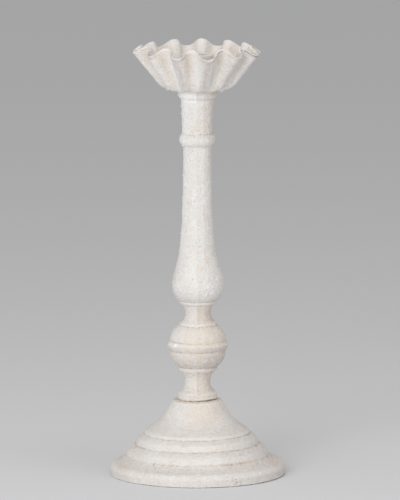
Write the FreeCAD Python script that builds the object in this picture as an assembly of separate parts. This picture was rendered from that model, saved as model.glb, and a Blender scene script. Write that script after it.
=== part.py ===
import FreeCAD, Part
import math
import os

from FreeCAD import Vector

# A cast iron candlestick: a stepped round base, a turned-looking stem, a ruffled drip cup with a
# candle socket in it, and one threaded rod that clamps the stack together.
# Millimetres. Z is up along the axis, and the origin is the centre of the foot's underside.

# Driving dimensions
BASE_R = 90.0
BASE_TOP = 77.0
BASE_TOP_R = 22.9
WALL = 5.0

FOOT_R = 19.8
FOOT_TOP = 84.3
FOOT_GAP = 0.6
FOOT_SEAT_R = 16.8
NECK_R = 13.0
LOWER_NECK = 96.3
KNOP_BOTTOM = 111.2
KNOP_BAND = 134.5
KNOP_TOP = 154.0
KNOP_R = 28.6
KNOP_BAND_R = 31.2
UPPER_NECK = 165.6
BULB_BOTTOM = 179.7
BULB_MIDDLE = 196.5
BULB_R = 26.8
RING = 345.4
RING_R = 18.4
SHAFT_R = 14.4
COLLAR_BOTTOM = 387.3
COLLAR_R = 20.1
STEM_TOP = 397.5
CORE_R = 8.0

FOLDS = 12
FOLD_DEPTH = 6.1
FOLD_SQUARENESS = 0.6
FIRST_OUTWARD_FOLD = math.radians(10.5)
POINTS_PER_FOLD = 8
CUP_FLOOR = 3.5
CUP_WALL = 2.9
CUP_FLOOR_R = 31.0
CUP_CORNER_R = 40.0
CUP_CORNER_RISE = 8.1
CUP_CORNER_DEPTH = 2.2
CUP_RIM_R = 59.6
CUP_RIM = 439.6
CUP_SLOPE = math.radians(51.3)

SOCKET_R = 16.5
SOCKET_TOP = 433.0
CANDLE_R = 11.25
CANDLE_DEPTH = 21.0
NUT_POCKET_R = 8.5
SPIGOT_R = 7.7
SPIGOT_LENGTH = 3.0

ROD_R = 4.0
ROD_HOLE_R = 4.5
THREAD_PLAY = 0.02
NUT_ACROSS_FLATS = 13.0
NUT_HEIGHT = 6.5
SOCKET_WASHER_R = 8.0
SOCKET_WASHER_T = 1.6
BASE_WASHER_R = 15.0
BASE_WASHER_T = 2.0
SPRING_WASHER_R = 7.4
SPRING_WASHER_T = 2.2
SPRING_WASHER_SPLIT = 1.4
ROD_OVERRUN = 3.3

# Heights that follow from the stack
CUP_BOTTOM = STEM_TOP
CUP_FLOOR_TOP = CUP_BOTTOM + CUP_FLOOR
CANDLE_SEAT = SOCKET_TOP - CANDLE_DEPTH
POCKET_FLOOR = CUP_FLOOR_TOP + 1.0
SOCKET_NUT_BOTTOM = POCKET_FLOOR + SOCKET_WASHER_T
ROD_TOP = SOCKET_NUT_BOTTOM + NUT_HEIGHT + 0.3
BOSS_UNDERSIDE = BASE_TOP - 11.0
SPRING_WASHER_TOP = BOSS_UNDERSIDE - BASE_WASHER_T
BASE_NUT_TOP = SPRING_WASHER_TOP - SPRING_WASHER_T
BASE_NUT_BOTTOM = BASE_NUT_TOP - NUT_HEIGHT
ROD_BOTTOM = BASE_NUT_BOTTOM - ROD_OVERRUN

ORIGIN = Vector(0, 0, 0)
UP = Vector(0, 0, 1)


def at(r, z):
    return Vector(r, 0, z)


def outline(start, *runs):
    """The edges of an outline from start. A run of one point is a straight line, a run of two is an
    arc through the first, and a longer run is a smooth curve through them all."""
    edges = []
    here = start
    for run in runs:
        points = [at(*p) for p in (here,) + tuple(run)]
        if len(points) == 2:
            curve = Part.LineSegment(*points)
        elif len(points) == 3:
            curve = Part.Arc(*points)
        else:
            curve = Part.BSplineCurve()
            curve.interpolate(points)
        edges.append(curve.toShape())
        here = run[-1]
    edges.append(Part.LineSegment(at(*here), at(*start)).toShape())
    return edges


def turned(start, *runs):
    """The solid that an outline sweeps in a full turn about the axis."""
    face = Part.Face(Part.Wire(outline(start, *runs)))
    return face.revolve(ORIGIN, UP, 360)


def cylinder(radius, bottom, top):
    return Part.makeCylinder(radius, top - bottom, Vector(0, 0, bottom))


def ring(outer, inner, bottom, top):
    return cylinder(outer, bottom, top).cut(cylinder(inner, bottom - 1, top + 1))


def make_base():
    """A hollow stepped bell with a thick crown that the stem stands on."""
    shell = turned(
        (0, 0),
        [(BASE_R - 1.4, 0)],
        [(BASE_R - 0.4, 0.4), (BASE_R, 1.4)],
        [(BASE_R, 6.0)],
        [(BASE_R - 0.2, 7.8), (BASE_R - 1.5, 10.4), (BASE_R - 5.2, 13.0)],
        [(79.9, 15.0), (76.4, 17.0), (73.1, 19.9)],
        # three rounded steps, each smaller than the one below
        [(72.4, 22.2), (70.5, 25.8), (67.3, 28.9), (63.4, 31.4)],
        [(62.2, 34.2), (60.7, 37.2), (58.0, 39.8), (54.4, 42.2)],
        [(53.1, 44.9), (51.2, 46.3)],
        # the hollow cone above them
        [(46.0, 50.0), (40.9, 54.0), (36.7, 58.0), (32.3, 64.0), (28.8, 70.0), (26.3, 74.3)],
        [(25.1, 76.0), (BASE_TOP_R, BASE_TOP)],
        [(0, BASE_TOP)],
    )
    hollow_r = BASE_R - WALL - 0.5
    hollow = turned(
        (0, -1),
        [(hollow_r, -1)],
        [(hollow_r, 5.0)],
        [(80.5, 9.6), (70.0, 14.3), (65.8, 22.5), (57.5, 28.4), (50.5, 37.5),
         (41.5, 46.2), (33.0, 55.8), (27.2, BOSS_UNDERSIDE)],
        [(0, BOSS_UNDERSIDE)],
    )
    pilot = cylinder(SPIGOT_R, BASE_TOP, BASE_TOP + SPIGOT_LENGTH)
    hole = cylinder(ROD_HOLE_R, BOSS_UNDERSIDE - 1, BASE_TOP + SPIGOT_LENGTH + 1)
    return shell.cut(hollow).fuse(pilot).cut(hole).removeSplitter()


def make_stem():
    """Foot ring, neck, banded knop, neck, bulb, tapering shaft with a ring, and collar."""
    body = turned(
        (CORE_R, BASE_TOP),
        [(FOOT_SEAT_R, BASE_TOP)],
        [(FOOT_SEAT_R, BASE_TOP + FOOT_GAP)],
        [(FOOT_R - 0.5, BASE_TOP + FOOT_GAP)],
        [(FOOT_R, BASE_TOP + FOOT_GAP + 0.5)],
        [(FOOT_R, FOOT_TOP - 0.5)],
        [(FOOT_R - 0.4, FOOT_TOP + 0.3), (FOOT_R - 1.3, FOOT_TOP + 0.8)],
        [(15.3, 88.0), (13.6, 91.6), (NECK_R, LOWER_NECK), (13.7, 100.6), (15.6, 104.2), (18.6, 107.0)],
        [(20.0, 109.4), (19.9, KNOP_BOTTOM)],
        [(26.2, 117.9), (KNOP_R, KNOP_BAND - 6.1)],
        # the band is a roll with a bevel above it
        [(30.3, KNOP_BAND - 3.2), (KNOP_BAND_R, KNOP_BAND)],
        [(KNOP_R, KNOP_BAND + 3.5)],
        [(26.7, 146.4), (19.2, KNOP_TOP)],
        [(19.0, 155.6), (17.8, 157.2)],
        [(14.7, 160.0), (13.3, 163.0), (NECK_R, UPPER_NECK), (13.3, 169.4), (14.3, 172.2), (15.8, 175.4)],
        # a bead under the bulb
        [(18.9, 177.2), (19.2, BULB_BOTTOM - 0.3)],
        [(20.1, BULB_BOTTOM)],
        [(23.3, 183.2), (26.0, 189.5), (BULB_R, BULB_MIDDLE), (25.4, 205.0), (22.3, 215.0),
         (19.5, 226.0), (17.6, 241.0), (16.2, 257.0), (15.4, 273.0), (14.8, 298.0),
         (SHAFT_R, 325.0), (SHAFT_R, RING - 7.2)],
        [(15.3, RING - 5.8)],
        [(RING_R, RING), (15.7, RING + 6.3)],
        [(15.7, 360.0), (16.2, 373.0), (16.9, COLLAR_BOTTOM)],
        [(19.5, 390.1), (COLLAR_R, 393.8)],
        [(COLLAR_R, STEM_TOP)],
        [(CORE_R, STEM_TOP)],
    )
    return body


def fold(angle):
    """How far the ruffle stands out at an angle: 1 on an outward fold, -1 on an inward one. The
    squareness flattens the folds and steepens the flanks between them."""
    wave = math.cos(FOLDS * (angle - FIRST_OUTWARD_FOLD))
    return wave * (1 + FOLD_SQUARENESS) / (1 + FOLD_SQUARENESS * wave * wave)


def ruffle(radius, height, depth):
    """A closed ruffled curve round the axis. The folds move square to the cup's sloping wall, so an
    outward fold is also the lower one."""
    points = []
    for i in range(FOLDS * POINTS_PER_FOLD):
        angle = 2 * math.pi * i / (FOLDS * POINTS_PER_FOLD)
        out = depth * fold(angle)
        r = radius + out * math.sin(CUP_SLOPE)
        z = height - out * math.cos(CUP_SLOPE)
        points.append(Vector(r * math.cos(angle), r * math.sin(angle), z))
    curve = Part.BSplineCurve()
    curve.interpolate(Points=points, PeriodicFlag=True)
    return curve.toShape()


def make_drip_cup():
    """A thin flared cup whose wall is ruffled, deepest at the rim and fading out at the floor."""
    half_out = CUP_WALL / 2 * math.sin(CUP_SLOPE)
    half_up = CUP_WALL / 2 * math.cos(CUP_SLOPE)
    corner = CUP_BOTTOM + CUP_CORNER_RISE
    outside = [
        ruffle(CUP_FLOOR_R, CUP_BOTTOM, 0),
        ruffle(CUP_CORNER_R, corner, CUP_CORNER_DEPTH),
        ruffle(CUP_RIM_R + half_out, CUP_RIM - half_up, FOLD_DEPTH),
    ]
    inside = [
        ruffle(CUP_RIM_R - half_out, CUP_RIM + half_up, FOLD_DEPTH),
        ruffle(CUP_CORNER_R - 2 * half_out, corner + 2 * half_up, CUP_CORNER_DEPTH),
        ruffle(CUP_FLOOR_R - 1.5, CUP_FLOOR_TOP, 0),
    ]
    curves = outside + inside
    faces = [Part.makeRuledSurface(a, b) for a, b in zip(curves, curves[1:])]
    faces.append(Part.Face(Part.Wire(curves[0])))
    faces.append(Part.Face(Part.Wire(curves[-1])))
    skin = Part.makeShell(faces)
    skin.sewShape()
    cup = Part.makeSolid(skin)
    if cup.Volume < 0:
        cup.reverse()
    return cup.cut(cylinder(CORE_R + 0.3, CUP_BOTTOM - 1, CUP_FLOOR_TOP + 1))


def make_candle_socket():
    """A plain tube with a step for the candle, a pocket for the nut, and a spigot that passes
    through the cup's floor into the stem."""
    body = turned(
        (ROD_HOLE_R, STEM_TOP - SPIGOT_LENGTH),
        [(SPIGOT_R, STEM_TOP - SPIGOT_LENGTH)],
        [(SPIGOT_R, CUP_FLOOR_TOP)],
        [(SOCKET_R, CUP_FLOOR_TOP)],
        [(SOCKET_R, SOCKET_TOP - 0.8)],
        [(SOCKET_R - 0.2, SOCKET_TOP - 0.2), (SOCKET_R - 0.8, SOCKET_TOP)],
        [(CANDLE_R, SOCKET_TOP)],
        [(CANDLE_R, CANDLE_SEAT)],
        [(NUT_POCKET_R, CANDLE_SEAT)],
        [(NUT_POCKET_R, POCKET_FLOOR)],
        [(ROD_HOLE_R, POCKET_FLOOR)],
    )
    return body


def make_nut(bottom):
    """A hexagon nut with both faces chamfered, threaded bore drawn plain."""
    corner_r = NUT_ACROSS_FLATS / 2 / math.cos(math.pi / 6)
    corners = []
    for i in range(7):
        angle = i * math.pi / 3
        corners.append(Vector(corner_r * math.cos(angle), corner_r * math.sin(angle), bottom))
    prism = Part.Face(Part.makePolygon(corners)).extrude(Vector(0, 0, NUT_HEIGHT))
    flat_r = NUT_ACROSS_FLATS / 2 - 0.1
    rise = (corner_r + 0.1 - flat_r) * math.tan(math.radians(30))
    barrel = turned(
        (0, bottom),
        [(flat_r, bottom)],
        [(corner_r + 0.1, bottom + rise)],
        [(corner_r + 0.1, bottom + NUT_HEIGHT - rise)],
        [(flat_r, bottom + NUT_HEIGHT)],
        [(0, bottom + NUT_HEIGHT)],
    )
    bore = cylinder(ROD_R + THREAD_PLAY, bottom - 1, bottom + NUT_HEIGHT + 1)
    return prism.common(barrel).cut(bore)


def make_tie_rod():
    """The rod that clamps the stack, chamfered at both ends."""
    chamfer = 0.8
    body = turned(
        (0, ROD_BOTTOM),
        [(ROD_R - chamfer, ROD_BOTTOM)],
        [(ROD_R, ROD_BOTTOM + chamfer)],
        [(ROD_R, ROD_TOP - chamfer)],
        [(ROD_R - chamfer, ROD_TOP)],
        [(0, ROD_TOP)],
    )
    return body


def make_spring_washer():
    """A split ring: the slot leans, as the ends of a coiled washer do."""
    body = ring(SPRING_WASHER_R, ROD_HOLE_R - 0.2, BASE_NUT_TOP, SPRING_WASHER_TOP)
    slot = Part.makeBox(SPRING_WASHER_SPLIT, SPRING_WASHER_R, 3 * SPRING_WASHER_T)
    slot.translate(Vector(-SPRING_WASHER_SPLIT / 2, 0, -1.5 * SPRING_WASHER_T))
    slot.rotate(ORIGIN, Vector(0, 1, 0), 20)
    slot.translate(Vector(0, 1.0, (BASE_NUT_TOP + SPRING_WASHER_TOP) / 2))
    return body.cut(slot)


PIECES = {
    "base": make_base(),
    "stem": make_stem(),
    "drip_cup": make_drip_cup(),
    "candle_socket": make_candle_socket(),
    "tie_rod": make_tie_rod(),
    "socket_washer": ring(SOCKET_WASHER_R, ROD_HOLE_R - 0.2, POCKET_FLOOR, SOCKET_NUT_BOTTOM),
    "socket_nut": make_nut(SOCKET_NUT_BOTTOM),
    "base_washer": ring(BASE_WASHER_R, ROD_HOLE_R - 0.2, SPRING_WASHER_TOP, BOSS_UNDERSIDE),
    "spring_washer": make_spring_washer(),
    "base_nut": make_nut(BASE_NUT_BOTTOM),
}

os.makedirs("parts", exist_ok=True)
for node, shape in PIECES.items():
    shape.exportStep("parts/" + node + ".step")
    print(node, shape.ShapeType, shape.isValid(), round(shape.Volume / 1000, 1), "cm3")
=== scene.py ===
import math

import bpy
import numpy as np
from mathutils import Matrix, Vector


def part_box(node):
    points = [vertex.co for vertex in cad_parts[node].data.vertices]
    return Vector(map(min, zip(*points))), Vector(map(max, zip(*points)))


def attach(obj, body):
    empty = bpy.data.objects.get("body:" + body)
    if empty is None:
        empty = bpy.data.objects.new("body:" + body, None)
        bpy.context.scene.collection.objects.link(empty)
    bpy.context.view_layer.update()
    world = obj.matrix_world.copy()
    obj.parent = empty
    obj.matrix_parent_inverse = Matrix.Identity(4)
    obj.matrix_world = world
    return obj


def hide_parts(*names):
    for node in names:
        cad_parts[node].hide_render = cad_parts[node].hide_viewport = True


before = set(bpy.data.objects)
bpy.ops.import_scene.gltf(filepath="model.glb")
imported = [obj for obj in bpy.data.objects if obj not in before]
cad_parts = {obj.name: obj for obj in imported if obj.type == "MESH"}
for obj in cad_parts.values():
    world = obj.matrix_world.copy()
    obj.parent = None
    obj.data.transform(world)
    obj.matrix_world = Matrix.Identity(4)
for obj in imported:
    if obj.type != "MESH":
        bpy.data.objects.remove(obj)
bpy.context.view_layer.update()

# The looks of a cast iron candlestick under matt off-white paint. The shapes below are worked out
# in millimetres and written to the meshes in metres. Angles called turn are in degrees from the
# front, positive towards the right.
MM = 0.001
SEED = 11
FRONT = math.radians(-90)

# Driving dimensions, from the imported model
_, base_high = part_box("base")
stem_low, stem_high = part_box("stem")
_, cup_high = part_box("drip_cup")
socket_low, socket_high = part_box("candle_socket")
rod_low, rod_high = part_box("tie_rod")
BASE_R = base_high.x / MM
BASE_TOP = stem_low.z / MM
STEM_TOP = stem_high.z / MM
KNOP_BAND_R = stem_high.x / MM
CUP_TOP = cup_high.z / MM
SOCKET_R = socket_high.x / MM
SOCKET_BOTTOM = socket_low.z / MM
SOCKET_TOP = socket_high.z / MM
ROD_R = rod_high.x / MM
ROD_BOTTOM = rod_low.z / MM
ROD_TOP = rod_high.z / MM

# Heights and radii of the turned shapes
FOOT_R = 19.8
FOOT_TOP = 84.3
FOOT_GAP = 0.6
FOOT_SEAT_R = 16.8
NECK_R = 13.0
LOWER_NECK = 96.3
KNOP_BOTTOM = 111.2
KNOP_BAND = 134.5
KNOP_TOP = 154.0
KNOP_R = 28.6
UPPER_NECK = 165.6
BULB_BOTTOM = 179.7
BULB_MIDDLE = 196.5
BULB_R = 26.8
RING = 345.4
RING_R = 18.4
SHAFT_R = 14.4
COLLAR_BOTTOM = 387.3
COLLAR_R = 20.1
CORE_R = 8.0
BOSS_UNDERSIDE = BASE_TOP - 11.0
PILOT_R = 7.7
PILOT_TOP = BASE_TOP + 3.0
ROD_HOLE_R = 4.5

# The ruffled cup
FOLDS = 12
FOLD_DEPTH = 6.1
FOLD_SQUARENESS = 0.55
FIRST_OUTWARD_FOLD = math.radians(10.5)
CUP_FLOOR = 3.5
CUP_FLOOR_R = 31.0
CUP_CORNER_R = 40.0
CUP_CORNER_RISE = 8.1
CUP_CORNER_DEPTH = 2.2
CUP_WALL = 2.9
CUP_RIM_R = 59.6
CUP_SLOPE = math.radians(51.3)
CUP_RIM = CUP_TOP - CUP_WALL / 2 * math.cos(CUP_SLOPE) - FOLD_DEPTH * math.cos(CUP_SLOPE)
RIM_ROUNDING = 0.9

# The folds are uneven. For each inward and outward fold in turn, from the left side round
# by the front: how far it is from its even place, in degrees, and how far the rim dips there.
LEFT_FOLD = -94.5
FOLD_SHIFTS = (
    -0.5, -0.7, 0.4, -1.0, -0.6, 0.8, -2.2, -0.8, 1.6, 0.4, -1.6, -0.8,
    -1.0, -0.5, 3.4, 1.5, -0.4, 0.6, -0.3, 0.2, 0.1, -0.2, 2.2, 0.7,
)
RIM_DIPS = (
    0, -0.5, -0.3, 0.7, 0.2, 1.1, 1.1, 2.3, 0.6, 0.7, 1.7, 1.3,
    1.4, 1.5, 2.0, 1.7, 1.5, 1.8, 1.1, 1.7, 1.0, 1.7, 1.7, 0.7,
)
# At the far left one fold is shallow, and the rim reaches further out
LEFT_FOLD_DEPTH = 0.4
LEFT_REACH = 2.0
# The turns of the flutes tinted tan: dirt, and painted shade, as each sits a little off its flute's
# middle towards the flank in shade
TAN_FLUTES = (-70, -41, -10.5, 26.5, 57, 92, 117, 144, 175, -156, -126, -98)

# The stem is cast in two halves, left and right. Where they meet, at the front and the back, the
# fin is ground off to a flat strip, and the halves don't quite match.
STRIP_X = 2.3
STRIP_WIDTH = 6.6
FILE_MARKS = (226.5, 229.0, 231.5, 234.0, 237.0)
STEM_NIBS = (380, 372, 363, 309, 286, 248)
BOW_HEIGHTS = (77, 110, 150, 190, 215, 245, 290, 345, 396)
BOW = (0, -0.1, 0.4, 0.65, 0.3, -0.25, -0.3, -0.15, -0.15)

# The base is cast a little askew: its top leans to the left and its right side stands higher. It
# stays a hair inside its radius.
BASE_TILT = math.radians(0.55)
BASE_RIM_LIFT = 0.6
BASE_REACH = BASE_R - 0.01

# The noise looks its values up in a table, at a place hashed from the cell's three numbers
NOISE_TABLE = 4096
HASH_X, HASH_Y, HASH_Z = 73856093, 19349663, 83492791

# Outlines are measured in this many samples, and their corners are kept crisp by a point this near
OUTLINE_SAMPLES = 400
CORNER_STEP = 0.25

# What the paint reads from each point of a mesh, each from 0 to 1, besides its creases and edges. Some
# of them hold painted shade and painted highlights as well as dirt and wear
PAINT_VALUES = ("warm", "stain_and_shade", "dust_and_shade", "chip_and_highlight", "pit", "sandy")


# ---------------------------------------------------------------- noise and outlines

def lattice_noise(points, size, seed):
    """Smooth noise from -1 to 1 at each point, with lumps about size across. Size may be one number
    or one for each axis."""
    table = np.random.default_rng(seed).uniform(-1, 1, NOISE_TABLE)
    p = points / size
    cell = np.floor(p).astype(np.int64)
    f = p - cell
    f = f * f * (3 - 2 * f)
    total = np.zeros(len(points))
    for corner in range(8):
        step = np.array([corner & 1, corner >> 1 & 1, corner >> 2 & 1])
        c = cell + step
        key = (c[:, 0] * HASH_X ^ c[:, 1] * HASH_Y ^ c[:, 2] * HASH_Z) & (NOISE_TABLE - 1)
        weight = np.prod(np.where(step, f, 1 - f), axis=1)
        total += weight * table[key]
    return total


def soft_step(low, high, x):
    """0 at low, 1 at high and beyond, and a smooth rise between. Low may be the larger one."""
    t = np.clip((x - low) / (high - low), 0, 1)
    return t * t * (3 - 2 * t)


def band(x, middle, width):
    """1 at the middle of a band, 0 from half its width outwards."""
    return soft_step(1, 0, np.abs(x - middle) / (width / 2))


def run_points(here, run, spacing):
    """Points along one run of an outline, after its start: a line to one point, an arc through two,
    or a smooth curve through more. They crowd at both ends, so that corners stay crisp."""
    pts = np.array([here] + list(run), float)
    if len(pts) == 2:
        def curve(t):
            return pts[0] + (pts[1] - pts[0]) * t[:, None]
    elif len(pts) == 3:
        curve = arc_through(*pts)
    else:
        curve = smooth_through(pts)
    fine = curve(np.linspace(0, 1, OUTLINE_SAMPLES))
    length = np.concatenate([[0], np.cumsum(np.linalg.norm(np.diff(fine, axis=0), axis=1))])
    total = length[-1]
    edge = min(CORNER_STEP, total / 4)
    count = max(1, int(round((total - 2 * edge) / spacing)))
    where = np.concatenate([np.linspace(edge, total - edge, count + 1), [total]])
    t = np.interp(where, length, np.linspace(0, 1, OUTLINE_SAMPLES))
    return curve(t)


def arc_through(a, b, c):
    """An arc from a to c through b."""
    ab, ac = b - a, c - a
    twice_area = 2 * (ab[0] * ac[1] - ab[1] * ac[0])
    across = ac[1] * (ab @ ab) - ab[1] * (ac @ ac)
    up = ab[0] * (ac @ ac) - ac[0] * (ab @ ab)
    centre = a + np.array([across, up]) / twice_area
    radius = np.linalg.norm(a - centre)
    angles = [math.atan2(*(p - centre)[::-1]) for p in (a, b, c)]
    turn = (angles[2] - angles[0]) % (2 * math.pi)
    if (angles[1] - angles[0]) % (2 * math.pi) > turn:
        turn -= 2 * math.pi

    def curve(t):
        angle = angles[0] + turn * t
        return centre + radius * np.stack([np.cos(angle), np.sin(angle)], axis=1)
    return curve


def smooth_through(pts):
    """A cubic curve through points, with chord-length knots and Catmull-Rom slopes."""
    knots = np.concatenate([[0], np.cumsum(np.linalg.norm(np.diff(pts, axis=0), axis=1))])
    slopes = np.gradient(pts, knots, axis=0, edge_order=2)

    def curve(t):
        s = t * knots[-1]
        k = np.clip(np.searchsorted(knots, s, side="right") - 1, 0, len(pts) - 2)
        h = (knots[k + 1] - knots[k])[:, None]
        u = ((s - knots[k])[:, None]) / h
        return ((2 * u**3 - 3 * u**2 + 1) * pts[k] + (u**3 - 2 * u**2 + u) * h * slopes[k]
                + (3 * u**2 - 2 * u**3) * pts[k + 1] + (u**3 - u**2) * h * slopes[k + 1])
    return curve


# ---------------------------------------------------------------- grids

class Grid:
    """A closed outline turned about the axis: rows go along the outline and columns go round. The
    outline is a start and runs of (radius, height), each with its spacing. The grid holds its
    points, the number of the run that each is on, and the values that the paint reads."""

    def __init__(self, start, runs, spacing, columns):
        here, outline, numbers = start, [], []
        for number, (run, step) in enumerate(zip(list(runs) + [[start]], spacing)):
            outline.append(run_points(here, run, step))
            numbers += [number] * len(outline[-1])
            here = run[-1]
        outline = np.concatenate(outline)
        self.rows, self.columns = len(outline), columns
        self.run = np.repeat(numbers, columns)
        angle = np.tile(np.arange(columns) * 2 * math.pi / columns, self.rows)
        self.place(np.repeat(outline[:, 0], columns), angle, np.repeat(outline[:, 1], columns))
        self.values = {key: np.zeros(len(angle)) for key in PAINT_VALUES}

    def place(self, radius, angle, height):
        self.points = np.stack([radius * np.cos(angle), radius * np.sin(angle), height], axis=1)

    @property
    def radius(self):
        return np.hypot(self.points[:, 0], self.points[:, 1])

    @property
    def angle(self):
        return np.arctan2(self.points[:, 1], self.points[:, 0])

    @property
    def height(self):
        return self.points[:, 2]

    def turn(self, degrees=0):
        """Each point's angle from that turn, in radians between -pi and pi."""
        return (self.angle - FRONT - math.radians(degrees) + math.pi) % (2 * math.pi) - math.pi

    def normals(self):
        p = self.points.reshape(self.rows, self.columns, 3)
        along = np.roll(p, -1, 0) - np.roll(p, 1, 0)
        around = np.roll(p, -1, 1) - np.roll(p, 1, 1)
        n = np.cross(around, along).reshape(-1, 3)
        return n / np.maximum(np.linalg.norm(n, axis=1), 1e-9)[:, None]

    def push(self, amount):
        """Moves the surface outwards by amount, in the direction it faces."""
        self.points = self.points + self.normals() * amount[:, None]

    def relief(self, reach):
        """How far each point stands above its surroundings: above 0 on a ridge, below in a crease."""
        p = self.points.reshape(self.rows, self.columns, 3)
        mean = p
        for _ in range(reach):
            rows = np.roll(mean, 1, 0) + np.roll(mean, -1, 0)
            mean = (rows + np.roll(mean, 1, 1) + np.roll(mean, -1, 1)) / 4
        return ((p - mean).reshape(-1, 3) * self.normals()).sum(axis=1)

    def build(self, name, material):
        mesh = bpy.data.meshes.new(name)
        index = np.arange(self.rows * self.columns).reshape(self.rows, self.columns)
        right = np.roll(index, -1, 1)
        up = np.roll(index, -1, 0)
        quads = np.stack([index, right, np.roll(right, -1, 0), up], axis=-1).reshape(-1, 4)
        mesh.from_pydata((self.points * MM).tolist(), [], quads.tolist())
        mesh.shade_smooth()
        for key, values in self.values.items():
            layer = mesh.attributes.new(key, "FLOAT", "POINT")
            layer.data.foreach_set("value", np.clip(values, 0, 1).astype(np.float32))
        return finished(name, mesh, material)


def finished(name, mesh, material):
    """The mesh as an object of the scene, with its material."""
    mesh.materials.append(material)
    piece = bpy.data.objects.new(name, mesh)
    bpy.context.scene.collection.objects.link(piece)
    return piece


def cast_skin(grid, seed, waves=1.0, grain=1.0):
    """The uneven skin of a sand casting under thick paint: slow waves, lumps, pocks and grain."""
    p = grid.points
    slow = 0.15 * lattice_noise(p, 23.0, seed) + 0.12 * lattice_noise(p, 9.0, seed + 1)
    lumps = 0.10 * lattice_noise(p, 4.1, seed + 2) + 0.13 * lattice_noise(p, 2.1, seed + 3)
    rough = soft_step(-0.4, 0.4, lattice_noise(p, 17.0, seed + 4))
    fine = 0.13 * lattice_noise(p, 1.3, seed + 5) * (0.5 + rough)
    pocks = 0.18 * soft_step(0.45, 0.8, lattice_noise(p, 1.7, seed + 6)) * rough
    grid.push(slow * waves + (lumps + fine - pocks) * grain)


def spots(grid, seed, count, size, depth, keep):
    """Small round pits where depth is above 0, or pimples where it is below, at random places among
    the points where keep is true. Gives how deep in a pit each point is, from 0 to 1."""
    rng = np.random.default_rng(seed)
    p = grid.points
    push = np.zeros(len(p))
    for k in rng.choice(np.flatnonzero(keep), count, replace=False):
        reach = size * rng.uniform(0.6, 1.4)
        share = rng.uniform(0.5, 1.2)
        near = np.flatnonzero(np.abs(p - p[k]).max(axis=1) < reach)
        distance = np.linalg.norm(p[near] - p[k], axis=1) / reach
        push[near] -= depth * share * np.clip(1 - distance ** 2, 0, 1) ** 2
    grid.push(push)
    return np.clip(push / -depth, 0, 1)


def mark(grid, turn, height, wide, tall, ragged=0.35):
    """1 inside an oval patch and 0 outside it, with a ragged edge."""
    across = grid.radius * grid.turn(turn)
    distance = np.hypot(across / (wide / 2), (grid.height - height) / (tall / 2))
    size = max(0.8, 0.3 * min(wide, tall))
    distance += ragged * lattice_noise(grid.points, size, int(height * 10))
    return soft_step(1.15, 0.7, distance)


def scratch(grid, start, end, width):
    """1 along a thin, wavering line from start to end, each a turn and a height."""
    across, up = grid.radius * grid.turn(start[0]), grid.height - start[1]
    run, rise = grid.radius * math.radians(end[0] - start[0]), end[1] - start[1]
    t = np.clip((across * run + up * rise) / (run * run + rise * rise), 0, 1)
    distance = np.hypot(across - t * run, up - t * rise)
    distance += 0.4 * width * lattice_noise(grid.points, 1.6, int(start[1] * 10))
    return soft_step(width, 0.35 * width, distance)


def dirt_in(grid, seed, corners, width):
    """1 where dirt has settled along creases at corners, each a (radius, height), broken here and
    there."""
    wander = lattice_noise(grid.points, 6.0, seed)
    total = 0
    for radius, height in corners:
        distance = np.hypot(grid.radius - radius, grid.height - height)
        total = total + soft_step(width * (1.1 + 0.5 * wander), 0.3 * width, distance)
    return total * soft_step(-0.55, 0.15, lattice_noise(grid.points, 13.0, seed + 1))


def marks(grid, places):
    """The sum of marks, each given as its strength and then its place as mark takes it."""
    return sum(strength * mark(grid, *place) for strength, *place in places)


def stripe(grid, turn, wide):
    """1 all the way up at a turn, 0 from half of wide outwards, in degrees."""
    return band(np.degrees(grid.turn(turn)), 0, wide)


def stripes(grid, places):
    """The sum of stripes, each given as its strength, turn and width."""
    return sum(strength * stripe(grid, turn, wide) for strength, turn, wide in places)


def paint_values(grid, reach, crease_depth, edge_height):
    """How deep in a crease and how far out on an edge each point is, from the shape itself."""
    relief = grid.relief(reach)
    grid.values["crease"] = -relief / crease_depth - 0.25
    grid.values["edge"] = relief / edge_height - 0.2


# ---------------------------------------------------------------- paint and metal

# Linear colours of the paint, its dirt and painted shade, and its bright chips and painted highlights
WHITE = (0.838, 0.823, 0.797)
CREAM = (0.790, 0.763, 0.728)
BLUSH = (0.680, 0.625, 0.585)
DUST_AND_SHADE = (0.600, 0.540, 0.515)
WARM = (0.790, 0.705, 0.610)
TAN = (0.640, 0.510, 0.380)
CHIP_AND_HIGHLIGHT = (0.955, 0.960, 0.970)
BROWN = (0.235, 0.150, 0.090)
PIT = (0.165, 0.115, 0.085)


class Nodes:
    """Short ways to add nodes to a material."""

    def __init__(self, name):
        self.material = bpy.data.materials.new(name)
        self.material.use_nodes = True
        self.tree = self.material.node_tree
        self.shader = self.tree.nodes["Principled BSDF"]
        self.position = self.add("ShaderNodeTexCoord").outputs["Object"]

    def add(self, kind, values=None, **settings):
        node = self.tree.nodes.new(kind)
        for key, value in settings.items():
            setattr(node, key, value)
        for socket, value in (values or {}).items():
            self.feed(node.inputs[socket], value)
        return node

    def feed(self, socket, value):
        if hasattr(value, "is_output"):
            self.tree.links.new(value, socket)
        elif isinstance(value, tuple) and len(value) == 3 and socket.type == "RGBA":
            socket.default_value = (*value, 1)
        else:
            socket.default_value = value

    def noise(self, scale, detail, rough=0.5, place=None):
        values = {"Vector": place or self.position, "Scale": scale, "Detail": detail, "Roughness": rough}
        return self.add("ShaderNodeTexNoise", values).outputs["Fac"]

    def stretched(self, x, y, z):
        return self.add("ShaderNodeMapping", {"Vector": self.position, "Scale": (x, y, z)}).outputs[0]

    def ramp(self, value, low, high, bottom=0.0, top=1.0):
        values = {"Value": value, "From Min": low, "From Max": high, "To Min": bottom, "To Max": top}
        return self.add("ShaderNodeMapRange", values).outputs["Result"]

    def maths(self, kind, a, b):
        return self.add("ShaderNodeMath", {0: a, 1: b}, operation=kind).outputs[0]

    def mix(self, factor, a, b):
        return self.add("ShaderNodeMix", {0: factor, 6: a, 7: b}, data_type="RGBA").outputs[2]

    def value(self, name):
        return self.add("ShaderNodeAttribute", attribute_name=name).outputs["Fac"]


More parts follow.
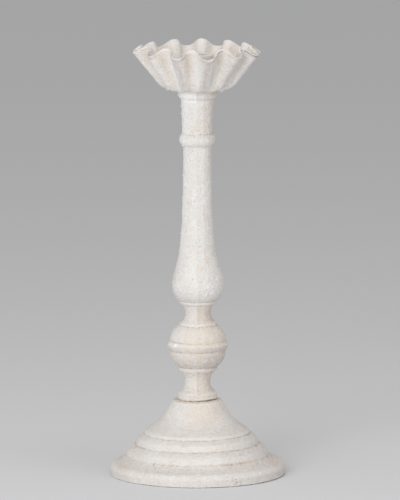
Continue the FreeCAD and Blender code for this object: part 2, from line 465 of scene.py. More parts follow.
def chalk_paint():
    """Matt off-white paint over sand-cast iron: mottled, browned in the creases, with sand grain and
    pinholes. Painted highlights whiten its convex edges, raised grains and marked places, partly as
    wear, and painted shade darkens it where the meshes mark it."""
    n = Nodes("chalk_paint")
    mottle = n.ramp(n.noise(42, 5, 0.55), 0.38, 0.62)
    colour = n.mix(mottle, CREAM, WHITE)
    clouds = n.ramp(n.noise(24, 3), 0.36, 0.66, 0.45, 1.0)
    colour = n.mix(n.maths("MULTIPLY", n.value("warm"), clouds), colour, WARM)
    blotches = n.ramp(n.noise(115, 5, 0.62), 0.50, 0.70, 0.0, 0.45)
    colour = n.mix(blotches, colour, BLUSH)
    brushed = n.noise(9, 4, 0.6, n.stretched(1, 1, 34))
    colour = n.mix(n.ramp(brushed, 0.52, 0.72, 0.0, 0.22), colour, BLUSH)
    # painted shade, with a little dust: darker wherever the meshes mark it
    dust_and_shade_factor = n.maths("MULTIPLY", n.value("dust_and_shade"), n.ramp(n.noise(180, 4, 0.6), 0.32, 0.62, 0.5, 1.0))
    colour = n.mix(dust_and_shade_factor, colour, DUST_AND_SHADE)
    flecks = n.ramp(n.noise(520, 3, 0.6, n.stretched(1.1, 0.9, 1.3)), 0.54, 0.66, 0.0, 0.55)
    colour = n.mix(flecks, colour, WHITE)
    speckle = n.ramp(n.noise(620, 2, 0.7), 0.53, 0.66, 0.0, 0.55)
    colour = n.mix(speckle, colour, BLUSH)
    # stains, dirt and dark joints, and painted shade in the socket's bore and under the cup
    stain_and_shade = n.maths("MULTIPLY", n.value("stain_and_shade"), n.ramp(n.noise(230, 4, 0.65), 0.28, 0.60))
    colour = n.mix(n.maths("MULTIPLY", stain_and_shade, 0.9), colour, TAN)
    # painted highlight, partly wear: convex edges and raised grains are whitened
    colour = n.mix(n.maths("MULTIPLY", n.value("edge"), 0.7), colour, WHITE)
    crease = n.maths("MULTIPLY", n.value("crease"), n.ramp(n.noise(150, 5, 0.7), 0.34, 0.58))
    colour = n.mix(n.maths("MULTIPLY", crease, 0.8), colour, BROWN)
    # bright chips, and painted highlights where the meshes mark them
    colour = n.mix(n.value("chip_and_highlight"), colour, CHIP_AND_HIGHLIGHT)

    # scattered grains of sand, whitened as a painted highlight, and the holes that some have left
    cells = n.add("ShaderNodeTexVoronoi", {"Vector": n.position, "Scale": 290.0})
    chosen = n.add("ShaderNodeSeparateColor", {0: cells.outputs["Color"]}).outputs[0]
    dot = n.maths("MULTIPLY", n.ramp(cells.outputs["Distance"], 0.26, 0.13), n.value("sandy"))
    hole = n.maths("MULTIPLY", dot, n.ramp(chosen, 0.90, 0.91))
    nib = n.maths("MULTIPLY", dot, n.ramp(chosen, 0.22, 0.21))
    colour = n.mix(n.maths("MULTIPLY", hole, 0.2), colour, PIT)
    colour = n.mix(n.maths("MULTIPLY", nib, 0.7), colour, CHIP_AND_HIGHLIGHT)
    colour = n.mix(n.maths("MULTIPLY", n.ramp(n.value("pit"), 0.25, 0.85), 0.7), colour, PIT)
    n.feed(n.shader.inputs["Base Color"], colour)

    grain = n.maths("ADD", n.noise(820, 3, 0.65), n.maths("MULTIPLY", n.noise(330, 3, 0.6), 1.4))
    strokes = n.maths("MULTIPLY", n.noise(14, 3, 0.6, n.stretched(1, 1, 60)), 0.5)
    dots = n.maths("SUBTRACT", n.maths("MULTIPLY", nib, 1.1), n.maths("MULTIPLY", hole, 0.6))
    height = n.maths("ADD", n.maths("ADD", grain, strokes), dots)
    bump = n.add("ShaderNodeBump", {"Strength": 0.8, "Distance": 0.0008, "Height": height})
    n.feed(n.shader.inputs["Normal"], bump.outputs[0])
    n.feed(n.shader.inputs["Roughness"], n.ramp(n.noise(95, 3), 0.3, 0.7, 0.72, 0.9))
    n.shader.inputs["Specular IOR Level"].default_value = 0.3
    return n.material


def zinc_plate():
    """Zinc-plated steel, dulled, with rust in the dull patches."""
    n = Nodes("zinc_plate")
    mottle = n.noise(260, 5, 0.65)
    colour = n.mix(n.ramp(n.noise(700, 3, 0.6), 0.4, 0.6), (0.46, 0.45, 0.43), (0.58, 0.57, 0.54))
    rust = n.ramp(mottle, 0.46, 0.36)
    n.feed(n.shader.inputs["Base Color"], n.mix(rust, colour, (0.21, 0.11, 0.06)))
    n.feed(n.shader.inputs["Roughness"], n.ramp(mottle, 0.35, 0.6, 0.62, 0.34))
    n.feed(n.shader.inputs["Metallic"], n.ramp(rust, 0.0, 1.0, 0.95, 0.15))
    bump = n.add("ShaderNodeBump", {"Strength": 0.35, "Distance": 0.0002, "Height": mottle})
    n.feed(n.shader.inputs["Normal"], bump.outputs[0])
    return n.material


# ---------------------------------------------------------------- the castings

# Marks on the paint are given as strength, turn, height, width, how tall and, for some, how ragged
# their edge is. Stripes down the paint are strength, turn and width, the last two in degrees.

# The creases between the base's steps, each a radius and a height, from the lowest up
BASE_CREASES = ((73.1, 19.9), (63.4, 31.4), (54.4, 42.2))
BASE_WALL = 5.5
BASE_NIBS = ((-49, 58), (-52, 46.5), (27, 5), (18, 11))
BASE_WARM_MARKS = (
    (1, 35, 66, 38, 19), (1, -4, 64, 22, 20), (1, -3, 9, 17, 12), (1, -64, 12, 26, 6),
    (1, -40, 10, 30, 4), (1, 150, 60, 40, 22), (1, 74, 12, 22, 10),
)
BASE_STAIN_MARKS = (
    (1, -75, 30, 7, 3), (1, 76, 19, 8, 3), (1, -13, 38, 8, 2.4), (0.16, 14, 68, 34, 24, 0.2),
    (0.25, -64, 12, 24, 5), (0.3, 74, 12, 18, 9),
)


def make_base(material):
    """The stepped bell of the base, hollow underneath."""
    hollow_r = BASE_R - BASE_WALL
    low_crease, middle_crease, high_crease = BASE_CREASES
    start = (ROD_HOLE_R, BOSS_UNDERSIDE)
    runs = [
        [(27.2, BOSS_UNDERSIDE)],
        [(33.0, 55.8), (41.5, 46.2), (50.5, 37.5), (57.5, 28.4), (65.8, 22.5), (70.0, 14.3),
         (80.5, 9.6), (hollow_r, 5.0)],
        [(hollow_r, 0)],
        [(BASE_R - 1.4, 0)],
        [(BASE_R - 0.4, 0.4), (BASE_R, 1.4)],
        [(BASE_R, 6.0)],
        [(BASE_R - 0.2, 7.8), (BASE_R - 1.5, 10.4), (BASE_R - 5.2, 13.0)],
        [(79.9, 15.0), (76.4, 17.0), low_crease],
        [(72.4, 22.2), (70.5, 25.8), (67.3, 28.9), middle_crease],
        [(62.2, 34.2), (60.7, 37.2), (58.0, 39.8), high_crease],
        [(53.1, 44.9), (51.2, 46.3)],
        [(46.0, 50.0), (40.9, 54.0), (36.7, 58.0), (32.3, 64.0), (28.8, 70.0), (26.3, 74.3)],
        [(25.1, 76.0), (22.9, BASE_TOP)],
        [(PILOT_R, BASE_TOP)],
        [(PILOT_R, PILOT_TOP)],
        [(ROD_HOLE_R, PILOT_TOP)],
    ]
    spacing = [4, 3, 2, 1.4, 0.5, 0.9, 0.75, 0.75, 0.7, 0.7, 0.6, 0.8, 0.6, 2.0, 3.0, 3.0, 6.0]
    grid = Grid(start, runs, spacing, 440)
    # the hollow and the rim's underside are runs 0 to 3
    outside = grid.run >= 4
    # the rim's underside isn't quite flat: it stands on its left and clears the floor on the right
    lift = BASE_RIM_LIFT * (1 + np.sin(grid.turn())) / 2
    grid.points[:, 2] += lift * soft_step(12, 0, grid.height)
    # the steps wander a little, as a hand-made pattern's do
    slow = lattice_noise(grid.points, np.array([60, 60, 9]), SEED + 20)
    grid.points[:, 2] += 0.35 * slow * soft_step(14, 24, grid.height) * soft_step(70, 50, grid.height)
    # dirt lies in the creases: in the lowest one none on the left and most on the right
    dirt = dirt_in(grid, SEED + 28, BASE_CREASES, 1.4) * outside
    from_left = np.abs(np.degrees(grid.turn(-90)))
    dirt *= 1 - soft_step(26, 22, grid.height) * soft_step(42, 34, from_left)
    from_crease = np.hypot(grid.radius - low_crease[0], grid.height - low_crease[1])
    dirt += 0.8 * soft_step(2.2, 0.7, from_crease) * stripe(grid, 32, 80) * outside
    cast_skin(grid, SEED + 21)
    paint_values(grid, 12, 0.30, 0.42)
    grid.values["crease"] = grid.values["crease"] * (1 - 0.7 * soft_step(48, 54, grid.height))
    # brush strokes run round it
    around = np.stack([grid.turn() * 8, grid.radius, grid.height], axis=1)
    grid.push(0.09 * lattice_noise(around, np.array([2.2, 0.9, 0.9]), SEED + 24))
    pitted = outside & (lattice_noise(grid.points, 30.0, SEED + 22) > 0.1) & (grid.height < 52)
    grid.values["pit"] = spots(grid, SEED + 23, 60, 0.9, 0.4, pitted)
    rough_rim = mark(grid, 24, 6.5, 16, 11) > 0.5
    grid.values["pit"] += spots(grid, SEED + 27, 16, 0.9, 0.6, rough_rim)
    # raised grains of sand, whitened with the edges as a painted highlight
    grid.values["edge"] = grid.values["edge"] + spots(grid, SEED + 25, 110, 1.0, -0.4, outside)
    for turn, height in BASE_NIBS:
        grid.push(0.7 * mark(grid, turn, height, 2.2, 1.6))
    paint_base(grid, outside, dirt)
    tilt_base(grid)
    return grid.build("base_casting", material)


def paint_base(grid, outside, dirt):
    """Tan patches, painted shade on what faces up, on the right and low down, and brown lines in
    grooves.
    """
    h = grid.height
    grid.values["sandy"] = outside * (0.15 + 0.3 * soft_step(46, 36, h))
    grid.values["warm"] = marks(grid, BASE_WARM_MARKS) + 0.2 * outside
    # painted shade, over a slight grey all round: darker on what faces up, on the right and low down
    level = soft_step(0.45, 0.9, grid.normals()[:, 2])
    right_side = soft_step(0.2, 0.9, np.sin(grid.turn()))
    grid.values["dust_and_shade"] = outside * (
        0.12 + 0.38 * level * soft_step(66, 56, h) + 0.24 * soft_step(12, 8, h)
        + 0.22 * right_side * soft_step(62, 30, h)
    )
    broken = soft_step(-0.1, 0.4, lattice_noise(grid.points, 7.0, SEED + 26))
    groove = broken * band(grid.radius, 45.6, 1.6)
    round_foot = 0.8 * band(h, BASE_TOP - 0.4, 3.0)
    stain_and_shade = (groove + round_foot) * outside + 0.6 * dirt + marks(grid, BASE_STAIN_MARKS)
    grid.values["stain_and_shade"] = stain_and_shade


def tilt_base(grid):
    """Leans the outside of the base to the left, and keeps it on the floor and within its radius."""
    free = soft_step(17, 22, grid.radius)
    x, y, z = grid.points.T
    leaning_x = x - BASE_TILT * z * free
    leaning_z = z + BASE_TILT * x * free * soft_step(0, 6, z)
    shrink = np.minimum(1, BASE_REACH / np.hypot(leaning_x, y))
    grid.points = np.stack([leaning_x * shrink, y * shrink, np.maximum(leaning_z, 0)], axis=1)


STEM_WARM_MARKS = (
    (0.5, -20, 349, 9, 6), (0.8, 30, 268, 6, 18), (0.9, 28, 227, 6, 20), (0.7, 0, 214.5, 8, 5),
    (0.7, 17, 193, 7, 5), (0.8, -33, 280, 6, 12), (0.8, -49, 256, 5, 11), (0.6, 45, 392, 10, 7),
    (0.5, 10, 366, 16, 40), (0.7, 160, 300, 12, 60), (0.7, 120, 205, 20, 14),
)
STEM_STAIN_MARKS = (
    (0.5, 3, 231, 5, 5), (0.7, -29, 115.5, 10, 2.6), (0.6, -10, 109.3, 4, 2),
    (0.7, -3, FOOT_TOP + 0.2, 11, 1.8), (0.4, 4, 325, 4, 1.4), (0.22, 5, 81, 30, 9, 0.1),
    (0.14, -38, 81, 24, 9, 0.1), (0.14, -12, 121, 36, 18, 0.2),
)
# Thin brown lines: strength, start and end, each a turn and a height, and width. The last two are
# cracks in the collar's paint.
STEM_STAIN_LINES = (
    (0.5, (-33, 359), (-17, 353.7), 1.0), (0.5, (-29, 127.0), (4, 126.2), 1.0),
    (0.9, (-11.5, 395), (-11, 392), 0.8), (0.9, (6.5, 395.4), (-5, 391.8), 0.8),
)


def make_stem(material):
    """The stem, one casting from its foot up to the collar under the cup."""
    start = (CORE_R, BASE_TOP)
    foot_bottom = BASE_TOP + FOOT_GAP
    runs = [
        [(FOOT_SEAT_R, BASE_TOP)],
        [(FOOT_SEAT_R, foot_bottom)],
        [(FOOT_R - 0.5, foot_bottom)],
        [(FOOT_R, foot_bottom + 0.5)],
        [(FOOT_R, FOOT_TOP - 0.5)],
        [(FOOT_R - 0.4, FOOT_TOP + 0.3), (FOOT_R - 1.3, FOOT_TOP + 0.8)],
        [(15.3, 88.0), (13.6, 91.6), (NECK_R, LOWER_NECK), (13.7, 100.6), (15.6, 104.2),
         (18.6, 107.0)],
        [(20.0, 109.4), (19.9, KNOP_BOTTOM)],
        [(26.2, 117.9), (KNOP_R, KNOP_BAND - 6.1)],
        [(30.3, KNOP_BAND - 3.2), (KNOP_BAND_R, KNOP_BAND)],
        [(KNOP_R, KNOP_BAND + 3.5)],
        [(26.7, 146.4), (19.2, KNOP_TOP)],
        [(19.0, 155.6), (17.8, 157.2)],
        [(14.7, 160.0), (13.3, 163.0), (NECK_R, UPPER_NECK), (13.3, 169.4), (14.3, 172.2),
         (15.8, 175.4)],
        [(18.9, 177.2), (19.2, BULB_BOTTOM - 0.3)],
        [(20.1, BULB_BOTTOM)],
        [(23.3, 183.2), (26.0, 189.5), (BULB_R, BULB_MIDDLE), (25.4, 205.0), (22.3, 215.0),
         (19.5, 226.0), (17.6, 241.0), (16.2, 257.0), (15.4, 273.0), (14.8, 298.0),
         (SHAFT_R, 325.0), (SHAFT_R, RING - 7.2)],
        [(15.3, RING - 5.8)],
        [(RING_R, RING), (15.7, RING + 6.3)],
        [(15.7, 360.0), (16.2, 373.0), (16.9, COLLAR_BOTTOM)],
        [(19.5, 390.1), (COLLAR_R, 393.8)],
        [(COLLAR_R, STEM_TOP)],
        [(CORE_R, STEM_TOP)],
    ]
    spacing = [3, 0.5, 1, 0.4] + [0.72] * 12 + [0.78, 0.5, 0.6, 0.85, 0.6, 0.9, 4, 14]
    grid = Grid(start, runs, spacing, 188)
    # runs 0 to 2 are under the foot, and 22 and 23 are the top face and the core
    outside = (grid.run >= 3) & (grid.run <= 21)
    open_foot_gap(grid)
    join_halves(grid)
    dirt = dirt_in(grid, SEED + 37, [(KNOP_R, KNOP_BAND + 3.6), (KNOP_R, KNOP_BAND - 6.2)], 0.9)
    cast_skin(grid, SEED + 30, 1.0, 1.15)
    above_neck = outside * soft_step(178, 182, grid.height)
    grid.push(0.07 * lattice_noise(grid.points, 0.95, SEED + 38) * above_neck)
    paint_values(grid, 9, 0.26, 0.40)
    # the necks are smooth and the shaft is clean
    necks = band(grid.height, 96, 36) + band(grid.height, 166, 28)
    clean = (1 - 0.8 * necks) * np.where(grid.height > 185, 0.6, 1.0)
    grid.values["crease"] = grid.values["crease"] * clean

    grid.values["pit"] = spots(grid, SEED + 31, 110, 0.85, 0.40, outside & (grid.height > 185))
    near_knop = outside & (np.abs(grid.height - 132) < 20)
    grid.values["pit"] += spots(grid, SEED + 32, 4, 0.8, 0.3, near_knop)
    under_ring = outside & (np.abs(grid.height - RING + 5) < 1.2)
    grid.values["pit"] += spots(grid, SEED + 35, 16, 0.8, 0.5, under_ring)
    grid.values["pit"] += mark(grid, 48, KNOP_BAND + 2.4, 1.2, 1.2, 0)
    # raised grains of sand, whitened with the edges as a painted highlight
    sand = spots(grid, SEED + 33, 130, 0.9, -0.36, outside)
    grid.values["edge"] = grid.values["edge"] + 0.9 * sand
    # painted highlights on raised specks low on the right of the bulb
    low_on_bulb = outside & (grid.height > 182) & (grid.height < 197) & (np.abs(grid.turn(38)) < 0.6)
    grid.values["chip_and_highlight"] = spots(grid, SEED + 34, 42, 1.1, -0.75, low_on_bulb)
    for height in STEM_NIBS:
        grid.push(0.75 * mark(grid, -90, height, 1.6, 1.8, 0))
    grid.push(1.1 * mark(grid, -63, 340.3, 3.0, 2.2))
    # a shallow dent and a short raised seam on the lower half of the knop
    dent = mark(grid, 46, 122.8, 3.2, 5.5, 0.1)
    seam = scratch(grid, (1, 124.0), (2, 119.0), 0.9)
    grid.push(0.35 * seam - 0.5 * dent)
    paint_stem(grid, outside, dirt)
    # the casting bows a little, first to the left and then to the right
    grid.points[:, 0] += np.interp(grid.height, BOW_HEIGHTS, BOW)
    return grid.build("stem_casting", material)


def paint_stem(grid, outside, dirt):
    """The tones of the paint, which change at the strip's edges and from part to part, with painted
    shade on the right and on undersides, and a painted highlight on the left.
    """
    x, h = grid.points[:, 0], grid.height
    left_of_strip = x < STRIP_X - STRIP_WIDTH / 2
    right_of_strip = x > STRIP_X + STRIP_WIDTH / 2
    right_side = soft_step(0, 0.6, np.sin(grid.turn()))
    far_left = soft_step(-28, -60, np.degrees(grid.turn()))
    below_bulb = soft_step(184, 176, h)
    on_knop = soft_step(112, 118, h) * soft_step(156, 152, h)
    creamy = soft_step(-14.2, -13.2, x) * soft_step(0.4, -0.6, x) * soft_step(128, 132, h) * on_knop
    upper_neck = band(h, 167, 24)
    lines = sum(strength * scratch(grid, *line) for strength, *line in STEM_STAIN_LINES)
    grid.values["sandy"] = outside * (0.15 + 0.5 * soft_step(176, 184, h))
    grid.values["warm"] = outside * (
        below_bulb * np.where(left_of_strip, 0.35, 1.0) + 0.45 * creamy
        + 0.35 * right_of_strip * (h > 345) + marks(grid, STEM_WARM_MARKS)
    )
    grid.values["stain_and_shade"] = outside * (
        lines + marks(grid, STEM_STAIN_MARKS) + 0.7 * band(h, BASE_TOP + 0.9, 2.2)
        + dirt * np.where(x < -13, 0.9, 0.3) + 0.22 * creamy
        + (0.1 + 0.12 * soft_step(122, 130, h)) * on_knop * ~left_of_strip
        + 0.33 * upper_neck * ~left_of_strip
    )
    # painted shade: darker on the right of the strip, under the bulb, on the knop's lower half and under
    # its band, and round the necks
    grid.values["dust_and_shade"] = outside * (
        0.22 * below_bulb * right_of_strip * (h > 86)
        + 0.2 * soft_step(340, 350, h) * right_of_strip
        + 0.13 * ((h > 185) & ~left_of_strip) + 0.3 * soft_step(194, 183, h) * (h > 179)
        + (0.6 + 0.25 * right_of_strip) * soft_step(132, 120, h) * soft_step(106, 112, h)
        + (0.35 + 0.1 * right_of_strip) * upper_neck * ~left_of_strip
        + (0.3 + 0.5 * right_side) * band(h, KNOP_BAND - 3.5, 7)
        + 0.35 * band(h, 96, 26) * ~left_of_strip
    )
    # a painted highlight whitens the far left of the shaft and all the left of the collar
    whiter = np.maximum(far_left, 1.4 * (h > 385)) * soft_step(225, 260, h)
    grid.values["chip_and_highlight"] += 0.3 * left_of_strip * outside * whiter
    # a bright chip on the knop's band
    grid.values["chip_and_highlight"] += mark(grid, -50, KNOP_BAND + 1.0, 6.5, 3.2)


def open_foot_gap(grid):
    """The foot sits down at the left and leaves a dark gap at the right of the front."""
    opening = ((1 + np.cos(grid.turn(40))) / 2) ** 6
    near = soft_step(BASE_TOP + 2.6, BASE_TOP + 0.9, grid.height) * (grid.height > BASE_TOP + 0.05)
    grid.points[:, 2] += (1.3 * opening - 0.45) * near


def join_halves(grid):
    """The right half stands a little higher, most of all above the knop, and a flat strip runs up
    the joint at the front and the back, with file marks across it on the bulb."""
    h = grid.height
    right = soft_step(STRIP_X - 1.0, STRIP_X + 1.0, grid.points[:, 0])
    grid.points[:, 2] += right * np.interp(h, (90, 146, 380, 387), (0.1, 0.3, 0.3, 0))
    filed = sum(band(h, z, 1.3) for z in FILE_MARKS)
    radius, turn = grid.radius, grid.turn()
    for facing in (0, math.pi):
        off = (turn - facing + math.pi) % (2 * math.pi) - math.pi
        middle = np.arcsin(np.clip(STRIP_X / radius, -1, 1)) * (1 if facing == 0 else -1)
        half = STRIP_WIDTH / 2 / radius
        t = (off - middle) / half
        flat = radius * np.cos(half) / np.cos(np.clip(t, -1, 1) * half)
        # the foot's wall, up to run 4, has no strip
        inside = soft_step(1.12, 0.95, np.abs(t)) * (grid.run >= 5)
        radius = radius + (flat - 0.06 - radius) * inside
        radius = radius - 0.10 * filed * inside
    grid.place(radius, grid.angle, h)


CUP_RIM_RUN = 3
CUP_NIBS = (-74, 53)
# Stripes of painted highlight and painted shade on the flanks of the folds, then stripes along which the
# rim's paint has cracked
CUP_HIGHLIGHT_STRIPES = ((0.5, 55, 12), (0.25, 0, 9), (0.2, -31, 12))
CUP_SHADE_STRIPES = (
    (0.15, -25, 14), (0.9, -19, 14), (1, 9.5, 16), (1, 38.5, 18), (0.1, 66, 16), (0.35, -71, 10),
)
CUP_CRACKED_STRIPES = ((1, 72, 50), (1, 22, 16))


def at_folds(angle, values):
    """The values of the inward and outward folds, given from the left one on, spread over angle."""
    turns = LEFT_FOLD + np.arange(2 * FOLDS) * 180 / FOLDS
    return np.interp(np.degrees(angle - FRONT), turns, values, period=360)


def fold_wave(angle):
    """1 on an outward fold, -1 on an inward one."""
    return np.cos(FOLDS * (angle - np.radians(at_folds(angle, FOLD_SHIFTS)) - FIRST_OUTWARD_FOLD))


def make_cup(material):
    """The thin ruffled cup. Its outline is turned first and then folded, deepest at the rim."""
    half_out = CUP_WALL / 2 * math.sin(CUP_SLOPE)
    half_up = CUP_WALL / 2 * math.cos(CUP_SLOPE)
    back_out, back_up = RIM_ROUNDING * math.cos(CUP_SLOPE), RIM_ROUNDING * math.sin(CUP_SLOPE)
    floor, corner = STEM_TOP, STEM_TOP + CUP_CORNER_RISE
    rim_out = (CUP_RIM_R + half_out - back_out, CUP_RIM - half_up - back_up)
    rim_in = (CUP_RIM_R - half_out - back_out, CUP_RIM + half_up - back_up)
    start = (CORE_R + 0.3, floor)
    runs = [
        [(CUP_FLOOR_R, floor)],
        [(CUP_FLOOR_R + 4.9, floor + 3.6), (CUP_CORNER_R, corner)],
        [rim_out],
        [(CUP_RIM_R + 0.25, CUP_RIM + 0.35), rim_in],
        [(CUP_CORNER_R - 2 * half_out, corner + 2 * half_up)],
        [(CUP_FLOOR_R + 2.9, floor + 6.5), (CUP_FLOOR_R - 1.5, floor + CUP_FLOOR)],
        [(CORE_R + 0.3, floor + CUP_FLOOR)],
    ]
    grid = Grid(start, runs, [2.5, 0.6, 0.75, 0.4, 0.8, 0.8, 1.8, 2], 480)
    outside = grid.run < CUP_RIM_RUN
    wall = soft_step(CUP_FLOOR_R - 2, CUP_CORNER_R - 1, grid.radius)
    depth = np.interp(grid.height, [floor, corner, CUP_RIM], [0, CUP_CORNER_DEPTH, FOLD_DEPTH]) * wall
    depth *= 1 - (1 - LEFT_FOLD_DEPTH) * stripe(grid, LEFT_FOLD, 36)
    wave = fold_wave(grid.angle)
    out = depth * wave * (1 + FOLD_SQUARENESS) / (1 + FOLD_SQUARENESS * wave * wave)
    up_the_wall = soft_step(corner, CUP_RIM, grid.height)
    dip = at_folds(grid.angle, RIM_DIPS) * up_the_wall
    reach = LEFT_REACH * stripe(grid, -84, 44) * up_the_wall
    radius = grid.radius + out * math.sin(CUP_SLOPE) + reach
    grid.place(radius, grid.angle, grid.height - out * math.cos(CUP_SLOPE) - dip)
    # the outward folds end in lumps at the bottom, and the mould has left two nibs
    lump = soft_step(0.1, 1, wave) * band(grid.height, floor + 3, 7) * outside
    grid.push(0.6 * lump)
    for turn in CUP_NIBS:
        grid.push(0.9 * mark(grid, turn, floor + 0.3, 2.2, 2.0, 0) * outside)
    cast_skin(grid, SEED + 41, 0.7, 1.1)
    paint_values(grid, 8, 1.1, 0.42)
    grid.values["pit"] = spots(grid, SEED + 42, 60, 0.8, 0.4, outside & (wave > -0.2))
    sand = spots(grid, SEED + 43, 110, 1.0, -0.4, outside & (grid.height < 418))
    # painted highlight, partly wear: the lumps, raised sand grains and edges are whitened
    grid.values["edge"] = grid.values["edge"] * 0.6 + 0.9 * lump + 0.8 * sand
    paint_cup(grid, outside, wave)
    grid.points[:, 2] = np.minimum(grid.points[:, 2], CUP_TOP)
    return grid.build("drip_cup_casting", material)


def paint_cup(grid, outside, wave):
    """Tan in the flutes, part dirt and part painted shade, stripes of painted highlight and shade
    between them, painted shade under the cup and on the rim's front, and the rim's cracks.
    """
    inside = grid.run > CUP_RIM_RUN
    hollow = sum(stripe(grid, turn, 15) for turn in TAN_FLUTES)
    grid.values["sandy"] = np.where(outside, 0.8, 0.4)
    grid.values["warm"] = np.where(inside, 1.0, 0.75 * hollow * outside)
    # painted highlight: a little over all the inside, and in stripes outside
    grid.values["chip_and_highlight"] = 0.22 * inside + outside * stripes(grid, CUP_HIGHLIGHT_STRIPES)
    grid.values["stain_and_shade"] = 0.30 * outside * hollow * band(grid.height, CUP_RIM - 10, 34)
    # painted shade on the underside, over the collar
    grid.values["stain_and_shade"] += band(grid.height, STEM_TOP, 2.5) * (grid.radius < CUP_FLOOR_R)
    # painted shade on the rim at the front, where the folds go out and dip: the edges lose their
    # painted highlight and darken
    row = np.repeat(np.arange(grid.rows), grid.columns)
    rim_rows = row[grid.run == CUP_RIM_RUN]
    first, last = rim_rows.min(), rim_rows.max()
    near_rim = soft_step(7, 3, np.abs(row - (first + last) / 2) - (last - first) / 2)
    rim_shade = near_rim * 0.85 * soft_step(-0.5, 0.5, wave) * soft_step(0.15, 0.5, np.cos(grid.turn()))
    grid.values["edge"] *= 1 - rim_shade
    grid.values["dust_and_shade"] = outside * stripes(grid, CUP_SHADE_STRIPES) + rim_shade
    # the paint has cracked along the rim on the right
    along = soft_step(0, 0.3, stripes(grid, CUP_CRACKED_STRIPES))
    unbroken = lattice_noise(grid.points, 2.6, SEED + 45) > -0.65
    grid.values["pit"] += 0.9 * band(row, first - 0.5, 7) * along * unbroken


CANDLE_BORE_R = 11.25
CANDLE_DEPTH = 21
NUT_POCKET_R = 8.5


def make_socket(material):
    """The candle's socket: its bore, the seat that the candle stands on, and the nut's pocket."""
    seat, pocket = SOCKET_TOP - CANDLE_DEPTH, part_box("socket_washer")[0].z / MM
    start = (ROD_HOLE_R, SOCKET_BOTTOM)
    runs = [
        [(PILOT_R, SOCKET_BOTTOM)],
        [(PILOT_R, STEM_TOP + CUP_FLOOR)],
        [(SOCKET_R, STEM_TOP + CUP_FLOOR)],
        [(SOCKET_R, SOCKET_TOP - 0.8)],
        [(SOCKET_R - 0.2, SOCKET_TOP - 0.2), (SOCKET_R - 0.8, SOCKET_TOP)],
        [(12.2, SOCKET_TOP)],
        [(11.5, SOCKET_TOP - 0.2), (CANDLE_BORE_R, SOCKET_TOP - 0.8)],
        [(CANDLE_BORE_R, seat)],
        [(NUT_POCKET_R, seat)],
        [(NUT_POCKET_R, pocket)],
        [(ROD_HOLE_R, pocket)],
    ]
    grid = Grid(start, runs, [0.8] * 12, 120)
    cast_skin(grid, SEED + 50, 0.5, 0.7)
    paint_values(grid, 8, 0.3, 0.4)
    inside = soft_step(SOCKET_R - 4, SOCKET_R - 5, grid.radius)
    grid.values["warm"] = 0.7 + 0.3 * inside
    # painted shade: darker going down into the bore
    grid.values["stain_and_shade"] = inside * soft_step(SOCKET_TOP, seat, grid.height)
    # the rim is rubbed white
    # a painted highlight whitens the rim, partly as wear
    rim = soft_step(SOCKET_TOP - 2.5, SOCKET_TOP - 1.0, grid.height)
    grid.values["edge"] = grid.values["edge"] + 1.2 * rim
    return grid.build("socket_casting", material)


def make_rod(material):
    """The tie rod, with its real thread near both ends."""
    pitch, columns, chamfer, depth = 1.25, 36, 0.8, 0.65
    low_thread, high_thread = 30, 18
    low_end, high_end = ROD_BOTTOM + low_thread, ROD_TOP - high_thread
    step = pitch / 8
    heights = np.concatenate([
        np.arange(ROD_BOTTOM, low_end, step),
        np.linspace(low_end, high_end, 12, endpoint=False),
        np.arange(high_end, ROD_TOP, step), [ROD_TOP],
    ])
    angle = np.arange(columns) * 2 * math.pi / columns
    h, a = [axis.ravel() for axis in np.meshgrid(heights, angle, indexing="ij")]
    phase = (h / pitch - a / (2 * math.pi)) % 1
    groove = np.clip(1.6 * np.abs(2 * phase - 1) - 0.3, 0, 1)
    threaded = np.maximum(soft_step(low_end, low_end - 2, h), soft_step(high_end, high_end + 2, h))
    radius = ROD_R - 0.1 - depth * (1 - groove) * threaded
    from_end = np.minimum(h - ROD_BOTTOM, ROD_TOP - h)
    radius = np.minimum(radius, ROD_R - chamfer + np.clip(from_end, 0, chamfer))
    points = np.stack([radius * np.cos(a), radius * np.sin(a), h], axis=1)
    index = np.arange(len(points)).reshape(len(heights), columns)
    right = np.roll(index, -1, 1)
    quads = np.stack([index[:-1], right[:-1], right[1:], index[1:]], axis=-1).reshape(-1, 4).tolist()
    caps = [index[0][::-1].tolist(), index[-1].tolist()]
    mesh = bpy.data.meshes.new("threaded_rod")
    mesh.from_pydata((points * MM).tolist(), [], quads + caps)
    mesh.shade_smooth()
    return finished("threaded_rod", mesh, material)


# ---------------------------------------------------------------- floor, light and camera

def stage():
    """A plain pale floor, round and wide enough to fill the view."""
    reach, count = 30.0, 96
    steps = [2 * math.pi * i / count for i in range(count)]
    mesh = bpy.data.meshes.new("floor")
    rim = [(reach * math.cos(a), reach * math.sin(a), 0) for a in steps]
    mesh.from_pydata(rim, [], [list(range(count))])
    material = bpy.data.materials.new("pale_floor")
    material.use_nodes = True
    surface = material.node_tree.nodes["Principled BSDF"]
    surface.inputs["Base Color"].default_value = (0.74, 0.74, 0.75, 1)
    surface.inputs["Roughness"].default_value = 0.95
    surface.inputs["Specular IOR Level"].default_value = 0.0
    finished("floor", mesh, material)


# The point that the lamps face, in metres, and the strength of the white light from all round
LAMPS_AIM = Vector((0, 0, 0.24))
WORLD_STRENGTH = 0.487


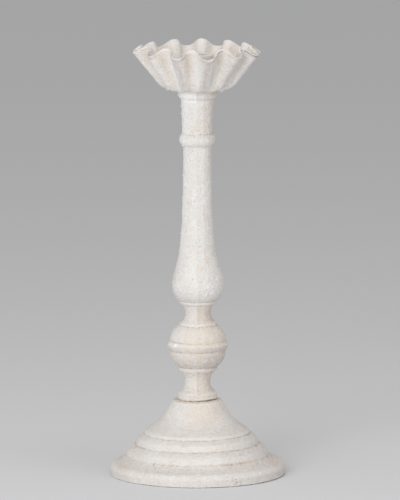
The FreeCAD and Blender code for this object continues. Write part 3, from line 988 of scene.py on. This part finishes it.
def lamp(name, place, size, power):
    """A round soft lamp that faces the candlestick's middle."""
    data = bpy.data.lights.new(name, "AREA")
    data.shape = "DISK"
    data.size = size
    data.energy = power
    light = bpy.data.objects.new(name, data)
    bpy.context.scene.collection.objects.link(light)
    light.location = place
    light.rotation_euler = (LAMPS_AIM - Vector(place)).to_track_quat("-Z", "Y").to_euler()


def lights():
    """Three soft lamps and white light from all round."""
    lamp("key", (-0.9, -2.25, 0.85), 1.5, 31.3)
    lamp("top", (0.1, -0.5, 2.3), 1.4, 8)
    lamp("fill", (1.9, -1.5, 0.9), 1.6, 7)
    world = bpy.data.worlds.new("studio")
    world.use_nodes = True
    world.node_tree.nodes["Background"].inputs[0].default_value = (1, 1, 1, 1)
    world.node_tree.nodes["Background"].inputs[1].default_value = WORLD_STRENGTH
    bpy.context.scene.world = world
    bpy.context.scene.view_settings.view_transform = "Standard"


# A long lens looking slightly down, a little to the right of the candlestick
CAMERA_DOWN = math.radians(8.25)
CAMERA_DISTANCE = 6.748
CAMERA_ASIDE = 0.0025
CAMERA_AIM = 0.23135
CAMERA_LENS = 475.0


def camera():
    """A camera far off in front, so that the view is nearly flat."""
    data = bpy.data.cameras.new("camera")
    data.lens = CAMERA_LENS
    data.sensor_width = 36.0
    data.clip_start = 0.1
    data.clip_end = 100
    cam = bpy.data.objects.new("camera", data)
    bpy.context.scene.collection.objects.link(cam)
    back = Vector((0, -math.cos(CAMERA_DOWN), math.sin(CAMERA_DOWN)))
    cam.location = Vector((CAMERA_ASIDE, 0, CAMERA_AIM)) + back * CAMERA_DISTANCE
    cam.rotation_euler = (-back).to_track_quat("-Z", "Y").to_euler()
    bpy.context.scene.camera = cam


# ---------------------------------------------------------------- assembly

paint = chalk_paint()
steel = zinc_plate()
for piece, node, slot in (
    (make_base(paint), "base", "painted_iron"),
    (make_stem(paint), "stem", "painted_iron"),
    (make_cup(paint), "drip_cup", "painted_iron"),
    (make_socket(paint), "candle_socket", "painted_iron"),
    (make_rod(steel), "tie_rod", "zinc_steel"),
):
    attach(piece, "root")
    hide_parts(node)
for node in ("socket_washer", "socket_nut", "base_washer", "spring_washer", "base_nut"):
    for material_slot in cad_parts[node].material_slots:
        material_slot.material = steel

stage()
lights()
camera()
